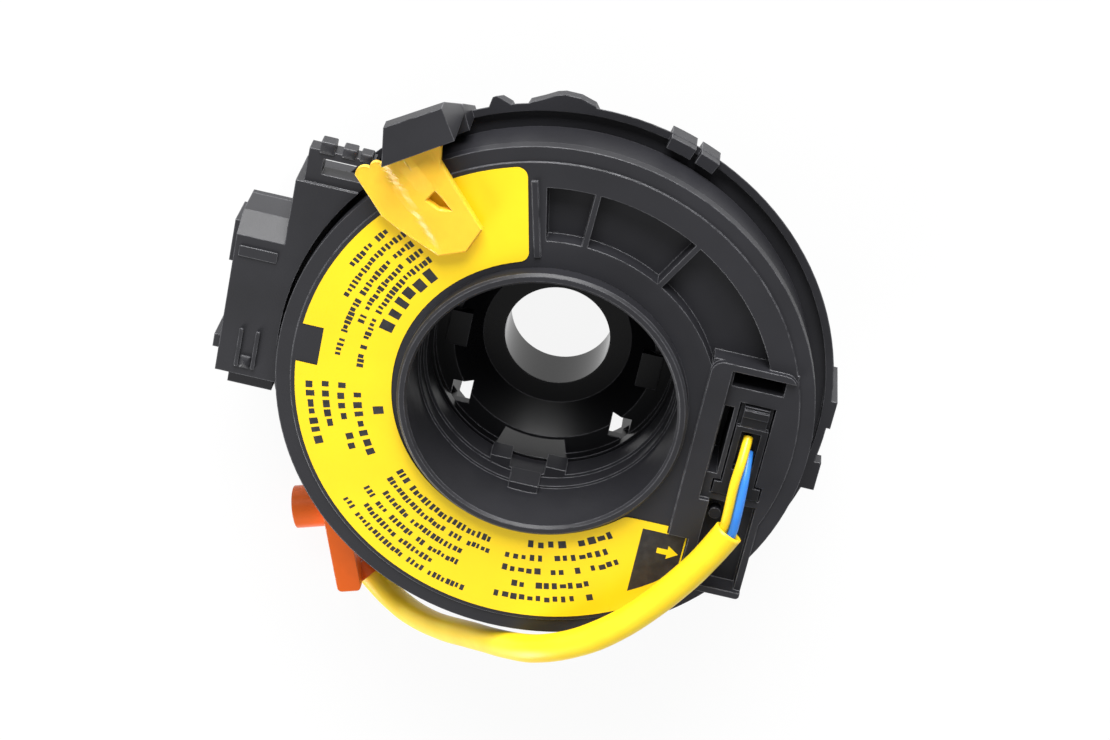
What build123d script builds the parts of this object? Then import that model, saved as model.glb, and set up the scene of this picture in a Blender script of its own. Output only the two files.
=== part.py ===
"""Steering clock spring: a rotor that turns with the steering wheel, in a case fixed to the column.

Millimetres. The Z axis is the steering axis and points to the driver. The origin is the centre of
the shaft bore at the rear end of the hub. The connector tray is on the +Y side of the rotor, and
the connector block is on the -Y side of the case.
"""
import os
from math import cos, radians, sin, tan

from build123d import *

os.makedirs("parts", exist_ok=True)

# Rotor face
FACE_R = 52.5            # outer radius of the round face
FACE_Z = 42.0            # height of the face above the hub's rear end
FACE_T = 2.7             # thickness of the face plate
FIELD_R = 49.5           # radius of the slightly raised field inside the edge band
FIELD_STEP = 0.3         # height of that field above the edge band
SKIRT_R = 51.7           # outer radius of the skirt under the face
SKIRT_WALL = 1.8
SKIRT_DROP = 13.0        # from the face to the skirt's lower edge
POCKET_R_IN = 33.7       # pockets beside the label
POCKET_R_OUT = 44.5
POCKET_DEPTH = 4.0
POCKET_WALL = 1.6
POCKET_START = 113.0     # the pockets run from the tray to the ridge, in degrees
POCKET_END = 190.5
RIB_T = 1.1              # radial ribs between the pockets
RIB_ANGLES = (178.0, 150.5)
RIDGE_ANGLE = 193.4      # ridge along the label's end
RIDGE_W = 1.2
RIDGE_RISE = 0.45
RIDGE_SPAN = (30.4, 45.8)

# Well, whose tube is also the drum that carries the flat cable
WELL_R = 26.2            # inner radius of the well
TUBE_WALL = 2.0
LIP_RISE = 3.2           # the tube's lip above the face
LIP_CHAMFER = 0.5
STEP_R1 = 25.6           # steps on the well's wall
STEP_R2 = 24.9
STEP_Z1 = 29.5
STEP_Z2 = 26.0
SEAT_Z = 20.4            # underside of the steps, where the hub seats
SIGHT_X = 21.6           # cut-outs in the wall through which the windows look
SIGHT_Y = 16.8
SIGHT_SIZE = (9.0, 6.4)
SIGHT_TOP = 12.6
CATCH_Z = (26.0, 32.0)   # catch on the well's far wall
CATCH_W = 6.0
CATCH_T = 1.7
SILL_W = 4.2             # two sills beside the catch
SILL_T = 3.4

# Hub
BORE_R = 10.75           # shaft bore
BORE_LENGTH = 12.4
HUB_WALL = 2.4
CONE_R = 20.4            # crest of the cone round the bore
CONE_RISE = 5.6
WEB_T = 2.0
SLEEVE_WALL = 1.9
HUB_FIT = 0.1            # between the hub's sleeve and the well's wall
FLANGE_R = 31.3          # retaining flange under the case floor
FLANGE_T = 2.1
FLANGE_GAP = 0.3
FLANGE_HALF_ANGLE = 19
HUB_RIB_T = 1.2
HUB_RIB_H = 3.0
DOG_SIZE = (7.0, 4.6, 6.0)   # dogs that reset the turn signal
PAD_SIZE = (7.5, 4.4, 1.2)   # pads beside the bore
WINDOW_R = 22.0          # windows in the hub's shelf
WINDOW_SIZE = (4.6, 4.0)
WINDOW_ANGLES = (-131, -49, 49, 131)
FAN_HALF_ANGLE = 17      # cut-away on the far side of the shelf

# Case
CASE_R = 56.0            # outer radius of the cover's rim
RIM_WALL = 1.6
RIM_SLANT = 2.3          # the rim's outside slants in by this much at the joint plane
CASE_WALL = 1.5
CHAMBER_R = 45.9         # inner radius of the cable chamber
FOOT_Z = -0.6            # plane that the case stands on
FLOOR_Z = 11.0           # underside of the case floor
FLOOR_T = 1.6
FLOOR_CHAMFER = 0.9
COVER_Z = 24.0           # joint plane between base and cover
COVER_T = 2.0
COVER_BORE_R = 29.8
RUN_FIT = 0.08           # radial clearance of the drum tube in the case floor
RIM_RISE = 2.0           # rim above the cover plate
LAP_GAP = 0.15           # between the base's wall and what hangs round it
COLLAR_RING = (32.3, 34.6)   # collar under the floor, in three arcs
COLLAR_ARCS = ((62, 168), (192, 298), (-14, 14))

# Connector block and land
LAND_Z = 36.5            # top of the land and the block
LAND_GAP = 0.8           # between the rotor's face edge and the land
LAND_X0 = -31.5
LAND_Y = -55.1
BLOCK_X0 = -17.7
BLOCK_X1 = 12.1
BLOCK_Y = -64.5
BLOCK_WALL = 1.6
BLOCK_SIDE = (-21.3, 32.2)   # foot of the slope on the block's -X side
BLOCK_FOOT_Z = 22.5      # underside of the block beside the sockets
SHELL_X0 = -11.6         # the sockets' shell under the block starts here
RIB_A = (-19.0, -10.2, -65.7, 33.0)   # two ribs on the block's -Y side
RIB_B = (5.2, 8.0, -65.9, 35.0)
LEDGE = (12.1, 16.5, -62.3, -53.3)    # ledge on the block's +X side
LEDGE_Z = (28.6, 32.0)
SHELL_ROOT_Y = -40.4     # the shell reaches in to here, into the chamber's wall
SOCKET_MOUTH_Z = 1.0
SOCKET_FLOOR_Z = 17.0
SOCKET_FLOOR_T = 1.8
SOCKET_SPANS = ((-10.1, -0.3), (1.1, 10.6))
SOCKET_Y0 = -63.0
SOCKET_Y1 = -56.6
PIN_T = 0.64
PIN_PITCH = 2.0
PIN_COUNT = 4
PIN_TIP_Z = 5.0
INSERT_T = 2.4
TERMINAL_T = 1.6
TERMINAL_W = 14.0
TERMINAL_GAP = 0.3

# Details round the case
CLIP_ANGLES = (162, 40, -18, -130)
CLIP_W = 11.0
CLIP_T = 1.4
CLIP_DROP = 10.0
CLIP_WINDOW = (7.0, 4.0)
CLIP_FRAME = 1.8         # below the window
CATCH_RISE = 1.3
CATCH_GAP = 0.3
TAB_SPANS = ((156.2, 160.4), (161.6, 167.0))   # low blocks on the rim
TAB_IN = (2.5, 0.1)      # radial span of the tabs, inside the rim's outer radius
TAB_Z = 30.2
LUG_ROOT = 4.0           # how far the two lugs beside the tray reach into the rim
LUG_A = (-6.9, -0.9, 0.8, 12.0)    # their ends along X, how far they stand out, and their foot
LUG_B = (7.0, 13.3, 1.0, 24.6)
DETAIL_Z = 25.6          # underside of the rim's small details
# fin and hump: corners as the height over the rim's outer radius and the angle
FIN = ((-1.0, -155.8), (2.3, -157.9), (-0.2, -161.0), (-2.0, -161.6))
HUMP = (
    (-1.5, -163.4), (0.1, -164.6), (0.8, -167.5), (1.6, -169.8), (1.8, -171.4),
    (1.4, -174.4), (0.3, -177.3), (-1.5, -178.6),
)
EAR = (-38.4, -31.5, -53.6, -41.0)   # ear beside the land
EAR_Z = (32.0, 36.0)
EAR_SLOT = (-36.8, -33.6, -50.6, -42.8)

# Hood over the stopper's tongue
HOOD_INNER = (-153.0, -138.3)
HOOD_OUTER = (-152.5, -142.2)
HOOD_GAP = 1.9           # from the rim's outer radius to the hood's inner face
HOOD_DEPTH = 6.6
HOOD_TOP = 49.0
HOOD_SLANT = 0.8         # the hood's back ends this far inside the rim's outer radius
HOOD_EAVE_Z = 46.2
HOOD_ROOT_Z = 34.5       # top of the root that carries the hood on the rim

# Stopper in its own axes: u runs inwards along the plate, v across it
STOPPER_ANGLE = 42.3     # direction of u
STOPPER_T = 2.2
STOPPER_GAP = 1.6        # under the plate, above the face
TONGUE_REACH = 2.5       # how far the tongue goes into the hood
TONGUE_V = (3.6, 11.6)
TONGUE_FIT = 0.3

# Tray on the rotor, for the lead's plug
TRAY_X0 = -17.3
TRAY_X1 = 33.1
TRAY_Y0 = 30.0
TRAY_Y1 = 46.7
TRAY_BAND = 4.0          # wide rim on the side of the well
TRAY_BAND_X1 = 22.0      # where that rim ends and a ledge goes on
TRAY_LEDGE = 2.0
TRAY_OUTER_CORNER = 0.8
TRAY_WALL = 1.4
TRAY_RISE = 1.2          # rim above the face
TRAY_CORNER = 2.4
TRAY_FLOOR_Z = 30.6
TRAY_FLOOR_T = 1.6
TRAY_END_Z = 37.3        # underside of the end that stands out past the face
TRAY_BOSS = (16.3, 37.9)
TRAY_BOSS_R = 1.2

# Lead plug in the tray
PLUG_X0 = -9.0
PLUG_X1 = 11.0
PLUG_Y = 40.6            # centre line
PLUG_W = 6.4
PLUG_TOP = 42.4
PLUG_EAR_W = 9.2
PLUG_EAR_L = 2.6
PLUG_EAR_T = 3.0
PLUG_FIT = 0.3
WIRE_WELL = (-3.4, 5.2)  # hollow that the wires come out of
WIRE_WELL_W = 3.8
WIRE_WELL_DEPTH = 2.4
LOCK_SIZE = (4.6, 5.0, 1.0)
HEADER_T = 1.4
HEADER_PIN_H = 6.0

# Label
LABEL_R_IN = 29.6
LABEL_R_OUT = 48.6
LABEL_T = 0.15
LABEL_CORNER = 2.0
LABEL_END_X = 20.9       # square end beside the tray
LABEL_END_Y = 33.8
LABEL_STEP = (22.5, 29.7)    # corner of the step beside the tray's rim
LABEL_FAR = ((0.0, -2.4), (-60.0, -15.2))   # line of the label's other end
LABEL_NOTCH = (-4.9, 3.4)
LABEL_NOTCH_Y = -44.2

# Flat cable, rollers and their carrier
CABLE_T = 0.35
CABLE_W = 8.0
CABLE_Z = 15.0
CABLE_PITCH = 1.0
CABLE_GAP = 0.35         # between the drum and the first turn
CABLE_ANGLE = 60.0       # where the inner end leaves the drum
OUTER_TURN_GAP = 1.2     # between the outer turn and the chamber's wall
OUTER_SWEEP = 328.0
ROLLER_COUNT = 6
ROLLER_GAP = 1.0         # between a roller and the inside of the turn-back
ROLLER_RIM = 1.1
ROLLER_WEB = 1.6
ROLLER_HUB_R = 2.8
ROLLER_H = 8.4
ROLLER_HOLES = 5
ROLLER_HOLE_R = 0.9
PIN_R = 1.5
PIN_FIT = 0.05
CARRIER_T = 1.2
CARRIER_W = 13.0
SHEET_T = 0.25
CARRIER_GAP = 0.3

# Lead from the tray's plug, and the airbag plug on its end
SLEEVE_R = 2.8
SLEEVE_BORE_R = 2.3
WIRE_R = 0.95
SLEEVE_ROUTE = (
    (16.3, 41.0, 47.0), (22.8, 38.0, 47.9), (30.5, 33.3, 48.3), (40.2, 27.0, 48.4),
    (48.6, 19.2, 48.2), (55.2, 10.4, 46.6), (60.6, 3.6, 40.2), (65.2, -3.2, 31.4),
    (69.4, -10.6, 22.0), (72.8, -17.6, 12.6), (72.6, -24.0, 6.4), (68.9, -29.2, 4.6),
)
YELLOW_ROUTE = (
    (-1.6, 40.4, 40.8), (1.6, 40.1, 44.6), (6.0, 39.6, 46.2), (11.0, 39.8, 46.8),
    (16.6, 39.95, 47.1), (24.0, 36.05, 47.95), (29.8, 32.4, 48.25),
)
BLUE_ROUTE = (
    (1.5, 41.2, 40.8), (4.2, 41.4, 44.2), (8.4, 41.6, 46.0), (13.0, 41.75, 46.7),
    (18.0, 41.7, 47.15), (24.6, 38.05, 47.95), (31.0, 34.15, 48.3),
)
SQUIB_ANGLE = 199.3      # direction of the airbag plug's body from the lead's side
SQUIB_START = (71.6, -31.4)
SQUIB_L = 23.0
SQUIB_T = 5.2
SQUIB_H = 12.0
COLLAR_R = 3.7
COLLAR_L = 3.4
BARREL_R = 4.6
BARREL_L = 7.0
BARREL_BORE_R = 3.3
BARREL_BORE_L = 5.0
KEY_SIZE = (2.4, 4.0, 1.0)
CAP_SIZE = (8.0, 1.6, 8.4)

# Values worked out from the ones above
face_under = FACE_Z - FACE_T
skirt_in = SKIRT_R - SKIRT_WALL
skirt_z = FACE_Z - SKIRT_DROP
tube_out = WELL_R + TUBE_WALL
tube_z = FLOOR_Z + FLANGE_GAP
lip_z = FACE_Z + LIP_RISE
sleeve_out = WELL_R - HUB_FIT
sleeve_in = sleeve_out - SLEEVE_WALL
hub_out = BORE_R + HUB_WALL
shelf_z = BORE_LENGTH + CONE_RISE
sleeve_z = FLOOR_Z - FLANGE_GAP - FLANGE_T
floor_top = FLOOR_Z + FLOOR_T
base_out = CHAMBER_R + CASE_WALL
clip_r = base_out + LAP_GAP
rim_in = CASE_R - RIM_WALL
plate_top = COVER_Z + COVER_T
rim_top = plate_top + RIM_RISE
land_r = FACE_R + LAND_GAP
hood_r0 = CASE_R + HOOD_GAP
hood_r1 = hood_r0 + HOOD_DEPTH
hood_foot_r = CASE_R - HOOD_SLANT
hood_root_r = hood_r0 + RIM_WALL
tongue_tip = -hood_r0 - TONGUE_REACH
lobe_u = -hood_r0        # the finger lobes end in line with the hood's inner face
socket_top = SOCKET_FLOOR_Z + SOCKET_FLOOR_T
stopper_z = FACE_Z + STOPPER_GAP
mouth_z = stopper_z - TONGUE_FIT
mouth_h = STOPPER_T + 2 * TONGUE_FIT
tray_rim_z = FACE_Z + TRAY_RISE
tray_in_y0 = TRAY_Y0 + TRAY_BAND
tray_mouth_y0 = tray_in_y0 + TRAY_LEDGE
tray_in_y1 = TRAY_Y1 - TRAY_WALL
tray_in_x1 = TRAY_X1 - TRAY_WALL
tray_end_floor = TRAY_END_Z + TRAY_WALL
plug_seat_x0 = PLUG_X0 - PLUG_FIT
plug_seat_x1 = PLUG_X1 + PLUG_FIT
plug_seat_w = PLUG_W + 2 * PLUG_FIT
ear_x0 = PLUG_X1 - PLUG_EAR_L
ear_z = PLUG_TOP - PLUG_EAR_T
tray_mouth_x0 = plug_seat_x1 + TRAY_WALL
sheet_top = floor_top + SHEET_T
carrier_z = sheet_top + CARRIER_GAP
roller_z = carrier_z + CARRIER_T + CARRIER_GAP
first_turn_r = tube_out + CABLE_GAP + CABLE_T
last_turn_r = first_turn_r + CABLE_PITCH
outer_turn_r = CHAMBER_R - OUTER_TURN_GAP
turn_r = (outer_turn_r - last_turn_r) / 2
roller_circle_r = last_turn_r + turn_r
roller_r = turn_r - CABLE_T / 2 - ROLLER_GAP


def polar(radius, angle):
    """A point at a radius and an angle in degrees."""
    return (radius * cos(radians(angle)), radius * sin(radians(angle)))


def radial(angle, radius=0.0, z=0.0):
    """A frame whose local X points outwards at an angle, with its origin at a radius and height."""
    return Plane(origin=(*polar(radius, angle), z), x_dir=(*polar(1, angle), 0), z_dir=(0, 0, 1))


def sector(r_in, r_out, start, end, mode=Mode.ADD):
    """Puts an annular sector between two angles into the sketch in hand."""
    with BuildLine() as edge:
        CenterArc((0, 0), r_in, start, end - start)
        CenterArc((0, 0), r_out, start, end - start)
        Line(polar(r_in, start), polar(r_out, start))
        Line(polar(r_in, end), polar(r_out, end))
    make_face(edge.edges(), mode=mode)


def outline(*points, mode=Mode.ADD):
    """Puts a closed straight-sided face through the points into the sketch in hand."""
    with BuildLine() as edge:
        Polyline(*points, close=True)
    make_face(edge.edges(), mode=mode)


def rect(x0, x1, y0, y1, mode=Mode.ADD):
    """Puts a rectangle between two corners into the sketch in hand."""
    with Locations(((x0 + x1) / 2, (y0 + y1) / 2)):
        Rectangle(abs(x1 - x0), abs(y1 - y0), mode=mode)


def pin_grid(mode=Mode.ADD):
    """Puts the pins' squares of both sockets into the sketch in hand."""
    for span in SOCKET_SPANS:
        with Locations((sum(span) / 2, (SOCKET_Y0 + SOCKET_Y1) / 2)):
            with GridLocations(PIN_PITCH, (SOCKET_Y1 - SOCKET_Y0) / 2, PIN_COUNT, 2):
                Rectangle(PIN_T, PIN_T, mode=mode)


def route_radii(points):
    """The largest arcs that a route's runs allow, one for each inner point."""
    radii = []
    for before, here, after in zip(points, points[1:], points[2:]):
        run_in = Vector(*here) - Vector(*before)
        run_out = Vector(*after) - Vector(*here)
        half_turn = radians(run_in.get_angle(run_out)) / 2
        radii.append(0.45 * min(run_in.length, run_out.length) / tan(half_turn))
    return radii


def start_plane(points):
    """The plane across a route's first run."""
    return Plane(origin=points[0], z_dir=Vector(*points[1]) - Vector(*points[0]))


# Drum: the well's tube, on which the flat cable is wound, with the steps that the hub seats against
with BuildPart() as rotor_drum:
    with BuildSketch(Plane.XZ):
        outline(
            (WELL_R, tube_z), (tube_out, tube_z), (tube_out, lip_z - LIP_CHAMFER),
            (tube_out - LIP_CHAMFER, lip_z), (WELL_R + LIP_CHAMFER, lip_z), (WELL_R, lip_z - LIP_CHAMFER),
            (WELL_R, STEP_Z1), (STEP_R1, STEP_Z1), (STEP_R1, STEP_Z2), (STEP_R2, STEP_Z2),
            (STEP_R2, SEAT_Z), (WELL_R, SEAT_Z),
        )
    revolve(axis=Axis.Z)
    with BuildSketch(Plane.XY.offset(tube_z)):
        with Locations((SIGHT_X, SIGHT_Y), (SIGHT_X, -SIGHT_Y)):
            Rectangle(*SIGHT_SIZE)
    extrude(amount=SIGHT_TOP - tube_z, mode=Mode.SUBTRACT)
    # catch and two sills on the well's far wall
    with BuildSketch(Plane.XY.offset(CATCH_Z[0])):
        rect(WELL_R - CATCH_T, WELL_R + TUBE_WALL / 2, -CATCH_W / 2, CATCH_W / 2)
    extrude(amount=CATCH_Z[1] - CATCH_Z[0])
    with BuildSketch(Plane.XY.offset(SEAT_Z)):
        for side in (-1, 1):
            sill_y = side * (CATCH_W / 2 + 0.6)
            rect(WELL_R - SILL_T, STEP_R2, sill_y, sill_y + side * SILL_W)
    extrude(amount=STEP_Z2 - SEAT_Z)
rotor_drum.part.label = "rotor_drum"
export_step(rotor_drum.part, "parts/rotor_drum.step")

# Rotor moulding round the drum: face and skirt with the pockets and the tray
with BuildPart() as rotor_disc:
    with BuildSketch(Plane.XZ):
        outline(
            (tube_out, face_under), (skirt_in, face_under), (skirt_in, skirt_z), (SKIRT_R, skirt_z),
            (SKIRT_R, face_under), (FACE_R, face_under), (FACE_R, FACE_Z - FIELD_STEP),
            (FIELD_R, FACE_Z - FIELD_STEP), (FIELD_R, FACE_Z), (tube_out, FACE_Z),
        )
    revolve(axis=Axis.Z)
    # pockets beside the label, with thin walls that hang under the face
    with BuildSketch(Plane.XY.offset(FACE_Z - POCKET_DEPTH - POCKET_WALL)):
        sector(POCKET_R_IN - POCKET_WALL, POCKET_R_OUT + POCKET_WALL, POCKET_START, POCKET_END + 2)
    extrude(amount=POCKET_DEPTH + POCKET_WALL)
    with BuildSketch(Plane.XY.offset(FACE_Z)):
        sector(POCKET_R_IN, POCKET_R_OUT, POCKET_START, POCKET_END)
        for rib_angle in RIB_ANGLES:
            with Locations(radial(rib_angle, POCKET_R_OUT).location):
                Rectangle(POCKET_R_OUT, RIB_T, mode=Mode.SUBTRACT)
    extrude(amount=-POCKET_DEPTH, mode=Mode.SUBTRACT)
    with BuildSketch(radial(RIDGE_ANGLE, sum(RIDGE_SPAN) / 2, FACE_Z)):
        Rectangle(RIDGE_SPAN[1] - RIDGE_SPAN[0], RIDGE_W)
    extrude(amount=RIDGE_RISE)
    # tray body, deep inside the skirt and shallow where it stands out past the face
    with BuildSketch(Plane.XY.offset(TRAY_FLOOR_Z - TRAY_FLOOR_T)):
        rect(TRAY_X0, tray_mouth_x0, TRAY_Y0, TRAY_Y1)
        Circle(SKIRT_R, mode=Mode.INTERSECT)
    extrude(amount=FACE_Z - TRAY_FLOOR_Z + TRAY_FLOOR_T)
    with BuildSketch(Plane.XY.offset(TRAY_END_Z)):
        rect(TRAY_X0, TRAY_X1, TRAY_Y0, TRAY_Y1)
        fillet(vertices().sort_by(Axis.X)[:2], TRAY_CORNER)
        fillet(vertices().sort_by(Axis.X)[-2:], TRAY_OUTER_CORNER)
    extrude(amount=FACE_Z - TRAY_END_Z)
    with BuildSketch(Plane.XY.offset(FACE_Z)):
        rect(TRAY_X0, TRAY_X1, TRAY_Y0, TRAY_Y1)
        fillet(vertices().sort_by(Axis.X)[:2], TRAY_CORNER)
        fillet(vertices().sort_by(Axis.X)[-2:], TRAY_OUTER_CORNER)
        rect(TRAY_X0 + TRAY_WALL, tray_mouth_x0, tray_in_y0, TRAY_Y1, mode=Mode.SUBTRACT)
        rect(tray_mouth_x0, tray_in_x1, tray_mouth_y0, TRAY_Y1, mode=Mode.SUBTRACT)
        rect(TRAY_BAND_X1, TRAY_X1, TRAY_Y0, tray_in_y0, mode=Mode.SUBTRACT)
    extrude(amount=TRAY_RISE)
    # the tray's hollows: end slot, side slot, the plug's seat with its ears, and the open mouth
    with BuildSketch(Plane.XY.offset(tray_rim_z)):
        rect(tray_mouth_x0, tray_in_x1, tray_mouth_y0, tray_in_y1)
    extrude(amount=tray_end_floor - tray_rim_z, mode=Mode.SUBTRACT)
    with BuildSketch(Plane.XY.offset(tray_rim_z)):
        rect(TRAY_X0 + TRAY_WALL, plug_seat_x0 - 3, tray_in_y0 + 0.6, tray_in_y1 - 0.6)
        rect(plug_seat_x0 + TRAY_WALL, ear_x0 - TRAY_WALL, tray_in_y0 + 0.3, PLUG_Y - plug_seat_w / 2 - 0.9)
        rect(plug_seat_x0, plug_seat_x1, PLUG_Y - plug_seat_w / 2, PLUG_Y + plug_seat_w / 2)
    extrude(amount=TRAY_FLOOR_Z - tray_rim_z, mode=Mode.SUBTRACT)
    with BuildSketch(Plane.XY.offset(tray_rim_z)):
        with Locations(((ear_x0 + PLUG_X1) / 2, PLUG_Y)):
            Rectangle(PLUG_EAR_L + 2 * PLUG_FIT, PLUG_EAR_W + 2 * PLUG_FIT)
    extrude(amount=ear_z - tray_rim_z, mode=Mode.SUBTRACT)
    with BuildSketch(Plane.XY.offset(tray_end_floor)):
        with Locations(TRAY_BOSS):
            Circle(TRAY_BOSS_R)
    extrude(amount=FACE_Z - tray_end_floor - 1)
    # openings in the tray's floor for the header's two pins
    with BuildSketch(Plane.XY.offset(TRAY_FLOOR_Z)):
        with Locations((PLUG_X0 / 2, PLUG_Y), (PLUG_X1 / 2, PLUG_Y)):
            Rectangle(2 * PIN_T, 2 * PIN_T)
    extrude(amount=-TRAY_FLOOR_T, mode=Mode.SUBTRACT)
rotor_disc.part.label = "rotor_disc"
export_step(rotor_disc.part, "parts/rotor_disc.step")

# Hub: shaft bore, cone, shelf with windows, sleeve in the well and retaining flange segments
with BuildPart() as rotor_hub:
    with BuildSketch(Plane.XZ):
        outline(
            (BORE_R, 0), (hub_out, 0), (hub_out, BORE_LENGTH - WEB_T), (CONE_R, shelf_z - WEB_T),
            (sleeve_in, shelf_z - WEB_T), (sleeve_in, sleeve_z), (sleeve_out, sleeve_z),
            (sleeve_out, SEAT_Z), (sleeve_in, SEAT_Z), (sleeve_in, shelf_z), (CONE_R, shelf_z),
            (hub_out + WEB_T, BORE_LENGTH), (BORE_R, BORE_LENGTH),
        )
    revolve(axis=Axis.Z)
    with BuildSketch(Plane.XY.offset(sleeve_z)):
        for middle in (0, 90, 180, 270):
            sector(sleeve_out - SLEEVE_WALL / 2, FLANGE_R, middle - FLANGE_HALF_ANGLE, middle + FLANGE_HALF_ANGLE)
    extrude(amount=FLANGE_T)
    # ribs under the cone
    with BuildSketch(Plane.XY.offset(BORE_LENGTH - WEB_T - HUB_RIB_H)):
        with PolarLocations((hub_out + sleeve_in) / 2, 8, start_angle=22.5):
            Rectangle(sleeve_in - hub_out + SLEEVE_WALL / 2, HUB_RIB_T)
    extrude(amount=HUB_RIB_H + WEB_T / 2)
    # dogs at the rear end and pads on the shelf
    with BuildSketch(Plane.XY.offset(WEB_T / 4)):
        with Locations((0, hub_out + DOG_SIZE[1] / 3), (0, -hub_out - DOG_SIZE[1] / 3)):
            Rectangle(DOG_SIZE[0], DOG_SIZE[1])
    extrude(amount=DOG_SIZE[2])
    with BuildSketch(Plane.XY.offset(shelf_z - WEB_T / 2)):
        with Locations((0, CONE_R - 0.8), (0, 0.8 - CONE_R)):
            Rectangle(PAD_SIZE[0], PAD_SIZE[1])
    extrude(amount=WEB_T / 2 + PAD_SIZE[2])
    # windows in the shelf
    with BuildSketch(Plane.XY.offset(shelf_z)):
        for window_angle in WINDOW_ANGLES:
            with Locations(polar(WINDOW_R, window_angle)):
                Rectangle(*WINDOW_SIZE)
    extrude(amount=-2 * WEB_T, mode=Mode.SUBTRACT)
    # sight cut-outs in the sleeve, in line with the drum's
    with BuildSketch(Plane.XY.offset(sleeve_z)):
        with Locations((SIGHT_X, SIGHT_Y), (SIGHT_X, -SIGHT_Y)):
            Rectangle(*SIGHT_SIZE)
    extrude(amount=SIGHT_TOP - sleeve_z, mode=Mode.SUBTRACT)
    # the far side of the shelf is cut away
    with BuildSketch(Plane.XY.offset(shelf_z)):
        sector(CONE_R + 0.6, sleeve_in, -FAN_HALF_ANGLE, FAN_HALF_ANGLE)
    extrude(amount=-WEB_T, mode=Mode.SUBTRACT)
rotor_hub.part.label = "rotor_hub"
export_step(rotor_hub.part, "parts/rotor_hub.step")

# Label: a printed film on the face, with a notch and a square-cut end at the tray
with BuildPart() as label_sticker:
    with BuildSketch(Plane.XY.offset(FACE_Z)):
        Circle(LABEL_R_OUT)
        Circle(LABEL_R_IN, mode=Mode.SUBTRACT)
        outline(
            LABEL_FAR[0], (LABEL_END_X, LABEL_END_X - 0.3), (LABEL_END_X, LABEL_END_Y),
            (60, LABEL_END_Y), (60, 60), (-60, 60), LABEL_FAR[1], mode=Mode.SUBTRACT,
        )
        fillet(vertices(), LABEL_CORNER)
        rect(0, LABEL_STEP[0], LABEL_STEP[1], LABEL_R_OUT, mode=Mode.SUBTRACT)
        rect(*LABEL_NOTCH, -LABEL_R_OUT - 1, LABEL_NOTCH_Y, mode=Mode.SUBTRACT)
    extrude(amount=LABEL_T)
label_sticker.part.label = "label_sticker"
export_step(label_sticker.part, "parts/label_sticker.step")

# Lead plug, seated in the tray, with ears at its +X end and a hollow for the wires
with BuildPart() as lead_plug:
    with BuildSketch(Plane.XY.offset(TRAY_FLOOR_Z)):
        rect(PLUG_X0, PLUG_X1, PLUG_Y - PLUG_W / 2, PLUG_Y + PLUG_W / 2)
    extrude(amount=PLUG_TOP - TRAY_FLOOR_Z)
    with BuildSketch(Plane.XY.offset(PLUG_TOP)):
        rect(ear_x0, PLUG_X1, PLUG_Y - PLUG_EAR_W / 2, PLUG_Y + PLUG_EAR_W / 2)
    extrude(amount=-PLUG_EAR_T + PLUG_FIT)
    with BuildSketch(Plane.XY.offset(PLUG_TOP)):
        rect(*WIRE_WELL, PLUG_Y - WIRE_WELL_W / 2, PLUG_Y + WIRE_WELL_W / 2)
    extrude(amount=-WIRE_WELL_DEPTH, mode=Mode.SUBTRACT)
    # step at the plug's -X end and the lock's seat
    with BuildSketch(Plane.XY.offset(PLUG_TOP)):
        rect(PLUG_X0, PLUG_X0 + LOCK_SIZE[0], PLUG_Y - PLUG_W / 2, PLUG_Y + PLUG_W / 2)
    extrude(amount=-LOCK_SIZE[2], mode=Mode.SUBTRACT)
    with BuildSketch(Plane.XY.offset(TRAY_FLOOR_Z)):
        with Locations((PLUG_X0 / 2, PLUG_Y), (PLUG_X1 / 2, PLUG_Y)):
            Rectangle(2 * PIN_T, 2 * PIN_T)
    extrude(amount=HEADER_PIN_H + PLUG_FIT, mode=Mode.SUBTRACT)
lead_plug.part.label = "lead_plug"
export_step(lead_plug.part, "parts/lead_plug.step")

# Locking tab on the lead plug
with BuildPart() as plug_lock:
    with BuildSketch(Plane.XY.offset(PLUG_TOP - LOCK_SIZE[2])):
        with Locations((PLUG_X0 + LOCK_SIZE[0] / 2, PLUG_Y)):
            Rectangle(LOCK_SIZE[0] - PLUG_FIT, LOCK_SIZE[1])
    extrude(amount=LOCK_SIZE[2])
    with BuildSketch(Plane.XY.offset(PLUG_TOP)):
        with Locations((PLUG_X0 + LOCK_SIZE[0] / 3, PLUG_Y)):
            Rectangle(LOCK_SIZE[0] / 3, LOCK_SIZE[1])
    extrude(amount=LOCK_SIZE[2] / 2)
plug_lock.part.label = "plug_lock"
export_step(plug_lock.part, "parts/plug_lock.step")

# Inner terminal: card against the drum, a header under the tray and two pins into the plug
with BuildPart() as inner_terminal:
    with BuildSketch(Plane.XY.offset(CABLE_Z)):
        sector(tube_out, tube_out + CABLE_GAP, CABLE_ANGLE - 8, CABLE_ANGLE + 8)
    extrude(amount=TRAY_FLOOR_Z - TRAY_FLOOR_T - CABLE_Z)
    header_z = TRAY_FLOOR_Z - TRAY_FLOOR_T - HEADER_T
    with BuildSketch(Plane.XY.offset(header_z)):
        rect(PLUG_X0, tray_mouth_x0, TRAY_Y0, PLUG_Y + PLUG_W / 2)
        sector(tube_out, TRAY_Y0 + 6, CABLE_ANGLE - 8, CABLE_ANGLE + 8)
    extrude(amount=HEADER_T)
    with BuildSketch(Plane.XY.offset(header_z)):
        with Locations((PLUG_X0 / 2, PLUG_Y), (PLUG_X1 / 2, PLUG_Y)):
            Rectangle(PIN_T, PIN_T)
    extrude(amount=HEADER_T + TRAY_FLOOR_T + HEADER_PIN_H)
inner_terminal.part.label = "inner_terminal"
export_step(inner_terminal.part, "parts/inner_terminal.step")

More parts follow.
